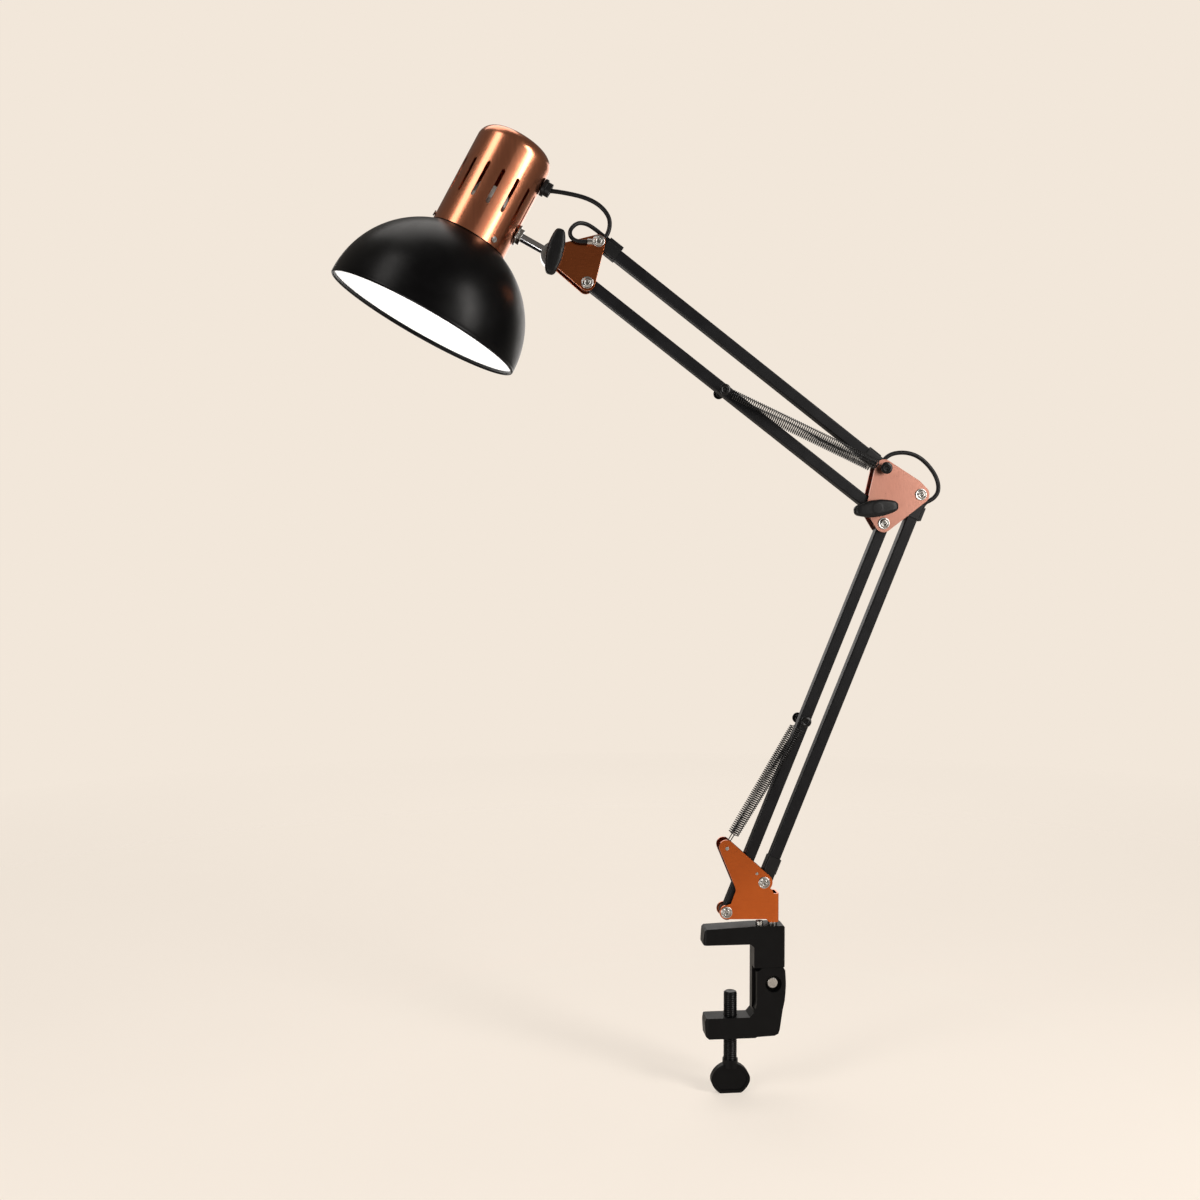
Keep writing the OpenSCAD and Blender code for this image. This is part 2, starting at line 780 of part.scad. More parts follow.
module stem() {
    color([0.8, 0.8, 0.82]) head_frame() translate([0, 0, stem_z]) difference() {
        union() {
            translate([cap_r - 7, 0, 0]) rotate([0, 90, 0]) cylinder(r = stem_r, h = stem_out - cap_r - 2);
            translate([stem_out, eye_w / 2, 0]) rotate([90, 0, 0]) cylinder(r = eye_r, h = eye_w);
        }
        translate([stem_out, 10, 0]) rotate([90, 0, 0]) cylinder(r = 2.55, h = 20);
    }
}

module stem_fasteners() {
    color([0.7, 0.7, 0.72]) head_frame() translate([0, 0, stem_z]) rotate([0, 90, 0]) {
        translate([0, 0, cap_r + 0.3]) ring(8.6, stem_r + 0.05, 1.6);
        translate([0, 0, cap_r + 1.95]) difference() {
            cylinder(r = 6.6, h = 3, $fn = 6);
            translate([0, 0, -1]) cylinder(r = stem_r + 0.05, h = 6);
        }
        translate([0, 0, cap_r - 5.4]) difference() {
            cylinder(r = 6.6, h = 3, $fn = 6);
            translate([0, 0, -1]) cylinder(r = stem_r + 0.05, h = 6);
        }
    }
}

// Side outline of the cap's outside, from the axis down to its lower edge
module cap_profile(r, top, corner) {
    translate([0, neck_z + 0.3]) square([r, top - corner - neck_z - 0.3]);
    translate([0, neck_z + 0.3]) square([r - corner, top - neck_z - 0.3]);
    translate([r - corner, top - corner]) circle(r = corner);
}

module cap() {
    color([0.78, 0.45, 0.33]) head_frame() difference() {
        rotate_extrude() intersection() {
            translate([0, neck_z]) square([cap_r + 1, cap_top]);
            difference() {
                cap_profile(cap_r, cap_top, cap_corner);
                translate([0, -1])
                    cap_profile(cap_r - cap_wall, cap_top - cap_wall + 1, cap_corner - cap_wall);
                translate([0, neck_z - 1]) square([cap_r - cap_wall, 20]);
            }
        }
        for (k = [0:slot_count - 1]) rotate([0, 0, 360 * (k + 0.5) / slot_count]) {
            translate([cap_r - 4, -slot_w / 2, slot_z0 + slot_w / 2])
                cube([8, slot_w, slot_z1 - slot_z0 - slot_w]);
            for (z = [slot_z0 + slot_w / 2, slot_z1 - slot_w / 2])
                translate([cap_r - 4, 0, z]) rotate([0, 90, 0]) cylinder(r = slot_w / 2, h = 8);
        }
        translate([0, 0, stem_z]) rotate([0, 90, 0]) cylinder(r = stem_r + 0.1, h = cap_r + 4);
        translate([0, 0, gland_z]) rotate([0, 90, 0]) cylinder(r = 3.6, h = cap_r + 4);
        for (k = [0:2]) rotate([0, 0, cap_screw_az + 120 * k]) translate([0, 0, cap_screw_z])
            rotate([0, 90, 0]) cylinder(r = 1.3, h = cap_r + 4);
    }
}

module cap_screws() {
    color("silver") head_frame() for (k = [0:2]) rotate([0, 0, cap_screw_az + 120 * k])
        translate([cap_r - 2.2, 0, cap_screw_z]) rotate([0, 90, 0]) {
            cylinder(r = 1.25, h = 3);
            translate([0, 0, 2.5]) cylinder(r = 2.4, h = 1.1);
        }
}

module shade() {
    collar_r = cap_r - cap_wall - 0.2;
    bead = 1.2;
    color([0.05, 0.05, 0.055]) head_frame() difference() {
        rotate_extrude($fn = 96) {
            difference() {
                translate([0, dome_z]) circle(r = shade_r);
                translate([0, dome_z]) circle(r = shade_r - shade_wall);
                translate([-100, -100]) square([100, 300]);
                translate([-1, -100]) square([100, 101]);
                translate([-1, neck_z]) square([100, 100]);
            }
            // Collar that the cap fits round, with a shelf for the lamp holder
            translate([collar_r - 0.9, neck_z - 1.5]) square([0.9, 9.5]);
            translate([20.4, neck_z - 1.5]) square([collar_r - 20.6, 1]);
            // Rolled bead round the opening
            translate([shade_r - bead, bead]) circle(r = bead);
        }
        for (k = [0:2]) rotate([0, 0, cap_screw_az + 120 * k]) translate([20, 0, cap_screw_z])
            rotate([0, 90, 0]) cylinder(r = 1.28, h = 14);
    }
}

// White enamel inside the shade
module shade_lining() {
    color("white") head_frame() rotate_extrude($fn = 96) difference() {
        translate([0, dome_z]) circle(r = shade_r - shade_wall - 0.05);
        translate([0, dome_z]) circle(r = shade_r - shade_wall - 0.45);
        translate([-100, -100]) square([100, 300]);
        translate([-1, -100]) square([100, 102.8]);
        translate([-1, neck_z - 3]) square([100, 100]);
    }
}

// Lamp holder: round shell standing through the collar's shelf, its shoulder on top
module lamp_holder() {
    color([0.35, 0.35, 0.36]) head_frame() difference() {
        union() {
            translate([0, 0, neck_z - 12]) cylinder(r = 20, h = 46);
            translate([0, 0, neck_z - 0.4]) cylinder(r = 22.5, h = 4);
            translate([0, 0, neck_z + 34]) cylinder(r1 = 17, r2 = 13, h = 12);
        }
        translate([0, 0, neck_z - 13]) cylinder(r = socket_r + 0.9, h = 38);
        translate([0, 0, neck_z + 40]) cylinder(r = 3, h = 8);
    }
}

// Ring that clamps the shade's shelf against the holder's shoulder
module holder_ring() {
    color([0.2, 0.2, 0.2]) head_frame() translate([0, 0, neck_z - 6.6]) ring(24, 20.05, 5);
}

// Threaded brass shell of the lamp holder
module holder_shell() {
    color([0.8, 0.65, 0.3]) head_frame() translate([0, 0, neck_z - 10]) ring(socket_r + 0.8, socket_r, 26);
}

module holder_contact() {
    color([0.8, 0.65, 0.3]) head_frame() translate([0, 0, neck_z + 22.9]) cylinder(r = 4, h = 2);
}

// Cord gland: flange outside the cap, collar and a flared mouth for the cord
module cord_gland() {
    color([0.05, 0.05, 0.05]) head_frame() translate([cap_r, 0, gland_z]) rotate([0, 90, 0]) difference() {
        union() {
            translate([0, 0, -3]) cylinder(r = 3.5, h = 4);
            translate([0, 0, 0.5]) cylinder(r = 7.2, h = 3);
            translate([0, 0, 3]) cylinder(r = 5.8, h = 5);
        }
        translate([0, 0, -4]) cylinder(r = 1.9, h = 9);
        translate([0, 0, 2.1]) cylinder(r1 = 1.9, r2 = 3.6, h = 6);
    }
}

// ---------- cords ----------

module head_cord() {
    color([0.04, 0.04, 0.04]) cord_run(head_route, cord_d / 2);
}

module earth_lead() {
    color([0.04, 0.04, 0.04]) cord_run(earth_route, 1.7);
}

module elbow_cord() {
    color([0.04, 0.04, 0.04]) cord_run(elbow_route, cord_d / 2);
}

// Lead inside a tube, from x0 to x1 along the heading a from p, between the pivots
module tube_lead(p, a, x0, x1) {
    heading(p, a) translate([x0, 0, -tube_off]) rotate([0, 90, 0]) cylinder(d = cord_d, h = x1 - x0);
}

module upper_tube_lead() {
    color([0.04, 0.04, 0.04]) tube_lead(u1, upper_angle, 6, upper_len - 6);
}

module lower_tube_lead() {
    color([0.04, 0.04, 0.04]) tube_lead(b0, lower_angle, 6, lower_len - 6);
}

clamp_upper();
clamp_lower();
clamp_bolt();
clamp_bolt_nut();
lock_screw();
clamp_screw();
thumb_key();
base_bracket();
swivel_pin();
base_pivot_bolts();
base_pivot_nuts();
base_washers();
base_cross_pins();
lower_tube_a();
lower_tube_a_plugs();
lower_spring_pin();
lower_tube_b();
lower_tube_b_sleeves();
lower_spring_front();
lower_spring_back();
elbow_plate_front();
elbow_plate_back();
elbow_pivot_bolts();
elbow_pivot_nuts();
elbow_washers();
elbow_spring_pin();
elbow_wing_bolt();
elbow_wing_nut();
upper_tube_u();
upper_tube_u_sleeves();
upper_tube_l();
upper_tube_l_plugs();
upper_spring_pin();
upper_spring_front();
upper_spring_back();
head_plate_front();
head_plate_back();
head_pivot_bolts();
head_pivot_nuts();
head_washers();
earth_terminal();
head_wing_bolt();
head_wing_nut();
stem();
stem_fasteners();
cap();
cap_screws();
shade();
shade_lining();
lamp_holder();
holder_ring();
holder_shell();
holder_contact();
cord_gland();
head_cord();
earth_lead();
elbow_cord();
upper_tube_lead();
lower_tube_lead();
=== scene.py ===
"""Looks of the architect desk lamp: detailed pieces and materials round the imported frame."""

import json
import math

import bmesh
import bpy
from mathutils import Matrix, Vector

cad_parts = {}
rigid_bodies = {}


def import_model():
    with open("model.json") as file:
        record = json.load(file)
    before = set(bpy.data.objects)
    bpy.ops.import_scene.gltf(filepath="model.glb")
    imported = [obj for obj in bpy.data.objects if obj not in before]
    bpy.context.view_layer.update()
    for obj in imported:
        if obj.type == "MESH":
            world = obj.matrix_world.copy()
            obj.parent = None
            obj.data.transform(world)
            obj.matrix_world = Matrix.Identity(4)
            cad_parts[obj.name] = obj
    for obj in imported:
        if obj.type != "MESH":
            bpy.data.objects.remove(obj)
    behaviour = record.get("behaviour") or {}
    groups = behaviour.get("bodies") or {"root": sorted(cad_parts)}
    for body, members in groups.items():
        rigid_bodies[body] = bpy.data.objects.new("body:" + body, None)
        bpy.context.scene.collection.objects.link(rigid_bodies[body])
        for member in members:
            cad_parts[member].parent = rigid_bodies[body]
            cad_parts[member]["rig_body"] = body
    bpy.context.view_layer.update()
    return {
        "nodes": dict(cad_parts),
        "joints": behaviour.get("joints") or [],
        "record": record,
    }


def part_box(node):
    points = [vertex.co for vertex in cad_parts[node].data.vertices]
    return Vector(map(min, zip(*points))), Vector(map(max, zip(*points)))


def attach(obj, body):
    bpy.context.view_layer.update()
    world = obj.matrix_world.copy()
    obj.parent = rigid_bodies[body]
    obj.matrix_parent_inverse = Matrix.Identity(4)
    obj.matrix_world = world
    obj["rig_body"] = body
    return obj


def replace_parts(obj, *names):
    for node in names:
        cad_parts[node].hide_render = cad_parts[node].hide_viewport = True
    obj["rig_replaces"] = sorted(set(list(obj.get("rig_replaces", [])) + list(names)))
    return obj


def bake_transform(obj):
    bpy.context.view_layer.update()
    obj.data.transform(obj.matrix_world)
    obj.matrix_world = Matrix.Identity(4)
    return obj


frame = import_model()
nodes = frame["nodes"]
scene = bpy.context.scene
MM = 0.001

# ---------------------------------------------------------------- camera, light and floor

FLOOR_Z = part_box("thumb_key")[0].z
SENSOR_MM = 36.0
LENS_MM = 37.69
CAMERA_AT = (-0.2085, -1.0310, 0.3189)
CAMERA_TILT, CAMERA_PAN = math.radians(88.271), math.radians(-5.454)
WARM = (1.0, 0.965, 0.93)
WHITE = (1.0, 0.99, 0.98)

# name, place, target, width, height, watts, colour
LIGHTS = [
    ("key_light", (-1.15, -0.85, 1.6), (-0.15, 0, 0.45), 0.5, 1.2, 8, WARM),
    ("side_light", (0.97, -0.95, 0.74), (-0.15, 0, 0.45), 0.4, 1.1, 15, WARM),
    ("front_panel", (0.62, -1.35, 0.42), (0.12, 0, 0.36), 0.7, 0.9, 1.0, WARM),
    ("back_light", (0.2, 1.7, 0.75), (-0.05, 0, 0.25), 2.4, 0.9, 10, WARM),
    ("top_light", (-0.3, 0.6, 2.1), (-0.1, 0, 0.3), 1.2, 1.2, 9, WARM),
    ("low_light", (-0.8, -0.75, 0.0), (-0.24, 0, 0.55), 0.5, 0.5, 5, WHITE),
]


def make_camera():
    data = bpy.data.cameras.new("camera")
    data.sensor_width = SENSOR_MM
    data.lens = LENS_MM
    data.clip_start = 0.01
    data.clip_end = 50.0
    data.dof.use_dof = False
    camera = bpy.data.objects.new("camera", data)
    scene.collection.objects.link(camera)
    camera.location = CAMERA_AT
    camera.rotation_euler = (CAMERA_TILT, 0.0, CAMERA_PAN)
    scene.camera = camera


def area_light(name, place, target, width, height, power, colour):
    data = bpy.data.lights.new(name, "AREA")
    data.shape = "RECTANGLE"
    data.size = width
    data.size_y = height
    data.energy = power
    data.color = colour
    lamp = bpy.data.objects.new(name, data)
    scene.collection.objects.link(lamp)
    lamp.location = place
    lamp.visible_camera = False
    aim = Vector(target) - Vector(place)
    lamp.rotation_euler = aim.to_track_quat("-Z", "Y").to_euler()


make_camera()
for light in LIGHTS:
    area_light(*light)

# ---------------------------------------------------------------- material helpers


def srgb(r, g, b):
    """Linear colour of an 8-bit sRGB one."""
    def one(v):
        v /= 255.0
        return v / 12.92 if v <= 0.04045 else ((v + 0.055) / 1.055) ** 2.4
    return (one(r), one(g), one(b), 1.0)


class Shader:
    """A node material round one Principled shader, in object coordinates."""

    def __init__(self, name):
        self.material = bpy.data.materials.new(name)
        self.material.use_nodes = True
        self.tree = self.material.node_tree
        self.tree.nodes.clear()
        self.out = self.add("ShaderNodeOutputMaterial")
        self.bsdf = self.add("ShaderNodeBsdfPrincipled")
        self.link(self.bsdf.outputs[0], self.out.inputs["Surface"])
        self.coords = self.add("ShaderNodeTexCoord").outputs["Object"]

    def add(self, kind, **settings):
        node = self.tree.nodes.new(kind)
        for key, value in settings.items():
            setattr(node, key, value)
        return node

    def link(self, a, b):
        self.tree.links.new(a, b)

    def set(self, **values):
        for key, value in values.items():
            self.bsdf.inputs[key.replace("_", " ")].default_value = value

    def noise(self, scale, detail, rough=0.55, stretch=None, turn=(0, 0, 0)):
        """Noise over the object's coordinates; stretch scales them along each axis."""
        source = self.coords
        if stretch:
            mapping = self.add("ShaderNodeMapping")
            mapping.inputs["Rotation"].default_value = turn
            mapping.inputs["Scale"].default_value = stretch
            self.link(source, mapping.inputs["Vector"])
            source = mapping.outputs[0]
        node = self.add("ShaderNodeTexNoise")
        node.inputs["Scale"].default_value = scale
        node.inputs["Detail"].default_value = detail
        node.inputs["Roughness"].default_value = rough
        self.link(source, node.inputs["Vector"])
        return node.outputs["Fac"]

    def ramp(self, value, low, high, a, b):
        """Colours a to b as value goes from low to high."""
        node = self.add("ShaderNodeValToRGB")
        node.color_ramp.elements[0].position = low
        node.color_ramp.elements[1].position = high
        node.color_ramp.elements[0].color = a
        node.color_ramp.elements[1].color = b
        self.link(value, node.inputs["Fac"])
        return node.outputs["Color"]

    def span(self, value, low, high, a, b):
        """Number from a to b as value goes from low to high."""
        node = self.add("ShaderNodeMapRange")
        for key, v in zip(("From Min", "From Max", "To Min", "To Max"), (low, high, a, b)):
            node.inputs[key].default_value = v
        self.link(value, node.inputs["Value"])
        return node.outputs["Result"]

    def bump(self, height, strength, distance):
        node = self.add("ShaderNodeBump")
        node.inputs["Strength"].default_value = strength
        node.inputs["Distance"].default_value = distance
        self.link(height, node.inputs["Height"])
        return node.outputs["Normal"]


def shade_of(colour, factor):
    return (colour[0] * factor, colour[1] * factor, colour[2] * factor, 1.0)


def coated(name, colour, rough, grain, grain_depth, dim=0.82, level=0.28):
    """Painted, moulded or powder-coated surface with a fine grain and faint blotches."""
    s = Shader(name)
    patch = s.noise(90.0, 3.0)
    fine = s.noise(grain, 6.0, 0.6)
    bright = tuple(min(1.0, c * (2 - dim)) for c in colour[:3]) + (1.0,)
    s.link(s.ramp(patch, 0.3, 0.7, shade_of(colour, dim), bright), s.bsdf.inputs["Base Color"])
    s.link(s.span(patch, 0.3, 0.7, rough - 0.03, rough + 0.03), s.bsdf.inputs["Roughness"])
    s.link(s.bump(fine, 0.5, grain_depth), s.bsdf.inputs["Normal"])
    s.set(Specular_IOR_Level=level)
    return s.material


def metal(name, colour, reflection_dark, rough, streak=None, streak_scale=60.0, streak_depth=0.00002,
          turn=(0, 0, 0), spread=0.08, patch_scale=25.0, coat=0.0):
    """Plated metal; streak stretches its brushing, and the dark colour fills broad patches, a painted
    darker reflection over the plating.
    """
    s = Shader(name)
    patch = s.noise(patch_scale, 5.0)
    if streak:
        fine = s.noise(streak_scale, 8.0, 0.65, stretch=streak, turn=turn)
    else:
        fine = s.noise(900, 5)
    # Broad patches in the dark colour are painted darker reflection over the plating.
    base = s.ramp(patch, 0.25, 0.75, reflection_dark, colour)
    tone = s.ramp(fine, 0.3, 0.7, shade_of(colour, 0.84), shade_of(colour, 1.06))
    blend = s.add("ShaderNodeMix", data_type="RGBA")
    blend.inputs["Factor"].default_value = 0.5
    s.link(base, blend.inputs[6])
    s.link(tone, blend.inputs[7])
    s.link(blend.outputs[2], s.bsdf.inputs["Base Color"])
    s.link(s.span(fine, 0.25, 0.75, rough - spread / 2, rough + spread / 2),
           s.bsdf.inputs["Roughness"])
    s.link(s.bump(fine, 0.35, streak_depth), s.bsdf.inputs["Normal"])
    s.set(Metallic=1.0, Coat_Weight=coat, Coat_Roughness=0.12)
    return s.material


COPPER_ORANGE = srgb(228, 114, 45)
COPPER_ROSE = srgb(206, 150, 132)
COPPER_BROWN = srgb(214, 118, 66)
COPPER_CAP = srgb(224, 146, 110)

MATERIALS = {
    "clamp_black": coated("clamp_black", srgb(9, 9, 10), 0.4, 1500, 0.00006, level=0.15),
    "screw_black": coated("screw_black", srgb(10, 10, 11), 0.3, 1200, 0.00004, level=0.2),
    # The second colour of each metal is its painted dark reflection, laid on in broad patches.
    "zinc_steel": metal("zinc_steel", srgb(208, 206, 202), srgb(150, 148, 146), 0.26,
                        patch_scale=220.0),
    "copper_orange": metal("copper_orange", COPPER_ORANGE, srgb(176, 78, 28), 0.16,
                           streak=(1, 1, 8), streak_scale=120.0, patch_scale=24.0,
                           streak_depth=0.000003, coat=0.3),
    "copper_rose": metal("copper_rose", COPPER_ROSE, srgb(188, 124, 106), 0.3,
                         streak=(8, 1, 1), streak_scale=140.0, patch_scale=26.0,
                         streak_depth=0.000004, coat=0.15),
    "copper_brown": metal("copper_brown", COPPER_BROWN, srgb(170, 84, 44), 0.2,
                          streak=(1, 1, 8), streak_scale=140.0, patch_scale=26.0,
                          streak_depth=0.000003, coat=0.2),
    "copper_brushed": metal("copper_brushed", COPPER_CAP, srgb(190, 112, 80), 0.25,
                            streak=(1, 1, 0.05), streak_scale=700.0, patch_scale=20.0,
                            streak_depth=0.000004, turn=(0, math.radians(-28), 0),
                            spread=0.05, coat=0.25),
    "tube_black": coated("tube_black", srgb(20, 20, 22), 0.38, 1400, 0.00003, level=0.2),
    "pin_black": coated("pin_black", srgb(15, 15, 16), 0.3, 1000, 0.00003),
    "spring_black": coated("spring_black", srgb(14, 14, 15), 0.25, 1500, 0.00003, level=0.5),
    "moulded_black": coated("moulded_black", srgb(17, 17, 18), 0.45, 1800, 0.00006),
    "wing_black": coated("wing_black", srgb(15, 15, 16), 0.42, 1500, 0.00006),
    "chrome": metal("chrome", srgb(222, 222, 224), srgb(196, 196, 200), 0.14, spread=0.04),
    "shade_black": coated("shade_black", srgb(4, 4, 5), 0.34, 1300, 0.00003, level=0.16),
    "enamel_white": coated("enamel_white", srgb(253, 253, 253), 0.35, 600, 0.00002, dim=0.98,
                           level=0.5),
    "holder_white": coated("holder_white", srgb(232, 230, 224), 0.35, 500, 0.00003, level=0.5),
    "contact_brass": metal("contact_brass", srgb(214, 176, 96), srgb(170, 130, 62), 0.25),
    "cord_black": coated("cord_black", srgb(14, 14, 15), 0.42, 1600, 0.00004),
}

# The enamel's faint glow stands for the studio light that fills the dome
ENAMEL_GLOW = 0.36
enamel = MATERIALS["enamel_white"].node_tree.nodes["Principled BSDF"].inputs
enamel["Emission Color"].default_value = srgb(255, 255, 255)
enamel["Emission Strength"].default_value = ENAMEL_GLOW

slot_of = {row["node"]: row["material_slot"] for row in frame["record"]["subparts"]}


def finish_piece(obj, body, slot, replaced, angle, flatten=False):
    """Material, smooth shading by angle, slot, body and the CAD nodes that obj stands for."""
    obj.data.materials.clear()
    obj.data.materials.append(MATERIALS[slot])
    obj.data.polygons.foreach_set("use_smooth", [True] * len(obj.data.polygons))
    sharpen(obj.data, angle)
    if flatten:
        weighted = obj.modifiers.new("flat_faces", "WEIGHTED_NORMAL")
        weighted.keep_sharp = True
        weighted.weight = 90
    if replaced:
        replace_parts(obj, *replaced)
    if body:
        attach(obj, body)
    return obj


def sharpen(mesh, angle):
    bm = bmesh.new()
    bm.from_mesh(mesh)
    limit = math.radians(angle)
    for edge in bm.edges:
        edge.smooth = not (len(edge.link_faces) == 2 and edge.calc_face_angle(0.0) > limit)
    bm.to_mesh(mesh)
    bm.free()


def body_of(node):
    return nodes[node]["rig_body"]


def object_from(name, bm):
    mesh = bpy.data.meshes.new(name)
    bmesh.ops.recalc_face_normals(bm, faces=bm.faces)
    bm.to_mesh(mesh)
    bm.free()
    obj = bpy.data.objects.new(name, mesh)
    scene.collection.objects.link(obj)
    return obj


# ---------------------------------------------------------------- shape helpers

SHARP_DEG = 28


def cad_bmesh(node):
    """Welded copy of a CAD node's mesh, with its flat faces joined up."""
    bm = bmesh.new()
    bm.from_mesh(nodes[node].data)
    bmesh.ops.remove_doubles(bm, verts=bm.verts, dist=0.5e-6)
    bmesh.ops.dissolve_limit(
        bm, angle_limit=math.radians(0.4), use_dissolve_boundaries=False,
        verts=bm.verts, edges=bm.edges)
    return bm


def softened(node, width):
    """The CAD node with its edges rounded by width millimetres."""
    bm = cad_bmesh(node)
    limit = math.radians(SHARP_DEG)
    sharp = [e for e in bm.edges if len(e.link_faces) == 2 and e.calc_face_angle(0.0) > limit]
    bmesh.ops.bevel(bm, geom=sharp, offset=width * MM, segments=2, profile=0.5,
                    affect="EDGES", clamp_overlap=True)
    obj = object_from(node + "_rounded", bm)
    finish_piece(obj, body_of(node), slot_of[node], [node], 50.0, True)


def point(x, z):
    """Point in the lamp's middle plane, from millimetres."""
    return Vector((x * MM, 0.0, z * MM))


def skin(bm, rings):
    """Faces between neighbouring rings of the same size."""
    count = len(rings[0])
    for a, b in zip(rings, rings[1:]):
        for k in range(count):
            m = (k + 1) % count
            bm.faces.new((a[k], a[m], b[m], b[k]))


def lathe(profile, matrix, segments):
    """Closed surface turned round local Z from (radius, height) pairs in millimetres."""
    bm = bmesh.new()
    rows = []
    for r, h in profile:
        if r < 1e-6:
            rows.append([bm.verts.new(matrix @ Vector((0, 0, h * MM)))])
        else:
            rows.append([
                bm.verts.new(matrix @ Vector((
                    r * MM * math.cos(math.tau * k / segments),
                    r * MM * math.sin(math.tau * k / segments), h * MM)))
                for k in range(segments)])
    for a, b in zip(rows, rows[1:]):
        for k in range(segments):
            m = (k + 1) % segments
            if len(a) == 1 and len(b) > 1:
                bm.faces.new((a[0], b[k], b[m]))
            elif len(b) == 1 and len(a) > 1:
                bm.faces.new((a[k], b[0], a[m]))
            elif len(a) > 1:
                bm.faces.new((a[k], b[k], b[m], a[m]))
    return bm


def join(bms):
    """One bmesh out of several."""
    total = bmesh.new()
    for bm in bms:
        mesh = bpy.data.meshes.new("part")
        bm.to_mesh(mesh)
        bm.free()
        total.from_mesh(mesh)
        bpy.data.meshes.remove(mesh)
    return total


def arc(cx, cy, r, first, last, steps):
    """Points of an arc, angles in degrees."""
    angles = [math.radians(first + (last - first) * k / steps) for k in range(steps + 1)]
    return [(cx + r * math.cos(a), cy + r * math.sin(a)) for a in angles]


def smooth_path(route):
    """Catmull-Rom curve in metres through a route in millimetres, one step per millimetre or so."""
    pts = [Vector(p) * MM for p in route]
    pts = [pts[0] * 2 - pts[1]] + pts + [pts[-1] * 2 - pts[-2]]
    out = []
    for i in range(1, len(pts) - 2):
        p0, p1, p2, p3 = pts[i - 1:i + 3]
        steps = max(2, int((p2 - p1).length / MM + 0.5))
        for k in range(steps):
            t = k / steps
            out.append(0.5 * (2 * p1 + (p2 - p0) * t + (2 * p0 - 5 * p1 + 4 * p2 - p3) * t * t
                              + (3 * p1 - p0 - 3 * p2 + p3) * t ** 3))
    out.append(pts[-2])
    return out


def tube(path, radius, sides):
    """Closed tube along a path; the radius is in millimetres."""
    bm = bmesh.new()
    last = len(path) - 1
    tangents = [(path[min(i + 1, last)] - path[max(i - 1, 0)]).normalized()
                for i in range(last + 1)]
    side = tangents[0].orthogonal().normalized()
    rows = []
    for p, t in zip(path, tangents):
        side = (side - t * side.dot(t)).normalized()
        up = t.cross(side)
        rows.append([
            bm.verts.new(p + radius * MM * (math.cos(math.tau * k / sides) * side
                                            + math.sin(math.tau * k / sides) * up))
            for k in range(sides)])
    skin(bm, rows)
    bm.faces.new(list(reversed(rows[0])))
    bm.faces.new(rows[-1])
    return bm


def length_of(path):
    return sum((b - a).length for a, b in zip(path, path[1:]))


# ---------------------------------------------------------------- pivots, read from the record

# a and b are the lower tubes, l and u the upper ones: 1 is each tube's end at the elbow, 0 its far end
joint = {j["name"]: Vector(j["pos_m"]) for j in frame["joints"] if "pos_m" in j}
a0, a1 = joint["lower_arm_lift"], joint["elbow_level"]
b1, l1, u1 = joint["lower_link_swing"], joint["upper_link_swing"], joint["upper_arm_lift"]
u0, tilt = joint["head_level"], joint["head_tilt"]
b0 = b1 - (a1 - a0)
l0 = l1 + (u0 - u1)
lower_dir = (a1 - a0).normalized()
upper_dir = (u0 - u1).normalized()
PLATE_OUT = -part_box("elbow_plate_front")[0].y / MM
SOCKET_HEIGHT = 81.0

socket = next(m for m in frame["record"]["mounts"] if m["name"] == "lamp_socket")
head_axis = -Vector(socket["axis"])
head_lean = math.atan2(head_axis.x, head_axis.z)
rim_mid = Vector(socket["pos_m"]) - SOCKET_HEIGHT * MM * head_axis
HEAD = Matrix.Translation(rim_mid) @ Matrix.Rotation(head_lean, 4, "Y")

# ---------------------------------------------------------------- cords

CORD_R = 1.8
EARTH_R = 1.7
HEAD_CORD_END = 12.0

# Centrelines in millimetres
HEAD_ROUTE = [
    (-151.4, 0, 620.7), (-147.5, 0, 620.5), (-142.8, 0, 620), (-136, 0, 619), (-129.2, 0, 617.7),
    (-123, 0, 616.1), (-117, 0, 613.8), (-112, 0, 611), (-107.7, 0, 607.5), (-104.5, 0, 603.5),
    (-102.6, 0, 599.5), (-102.1, -0.2, 595.4), (-102.6, -1, 591.2), (-103.9, -1.7, 587.2),
    (-105.3, -1.9, 584.7), (-106.3, -1.9, 583.4),
]
EARTH_ROUTE = [
    (-102.3, 2, 582.4), (-106, 2, 585.2), (-110, 1.8, 588.2), (-113.6, 1.4, 590.8),
    (-117, 0.8, 592.9), (-120.4, 0, 594.4), (-123.8, -1, 595), (-127.2, -2.2, 594.8),
    (-130.4, -3.6, 593.2), (-133, -5, 590.6), (-134.8, -6.5, 587.4), (-135.1, -8, 584),
    (-133.8, -9.3, 580.9), (-131, -10, 578.8), (-127.4, -9.9, 578), (-124, -9.9, 577.9),
    (-118.6, -9.9, 577.9),
]
ELBOW_ROUTE = [
    (129.4, 0, 404.1), (131.4, 0, 406.6), (135.3, 0, 409.1), (140.2, 0, 410.5), (145.6, 0, 410.9),
    (150.8, 0, 410.4), (156, 0, 408.9), (161, 0, 406.3), (165.7, 0, 402.5), (170.1, 0, 397.7),
    (173.8, 0, 392.2), (176.2, 0, 386.3), (176.8, 0, 381), (175.8, 0, 376.8), (173, 0, 373.2),
    (169.4, 0, 370.8), (166.2, 0, 369.2), (164, 0, 366.8), (163, 0, 364.8),
]


def cord_piece(name, path, radius, replaced):
    obj = object_from(name, tube(path, radius, 16))
    return finish_piece(obj, None, "cord_black", replaced, 60.0)


def split_at(path, length):
    """The path cut at a distance from its start, its two parts sharing a point."""
    run, i = 0.0, 0
    while run < length:
        run += (path[i + 1] - path[i]).length
        i += 1
    return path[:i + 1], path[i:]


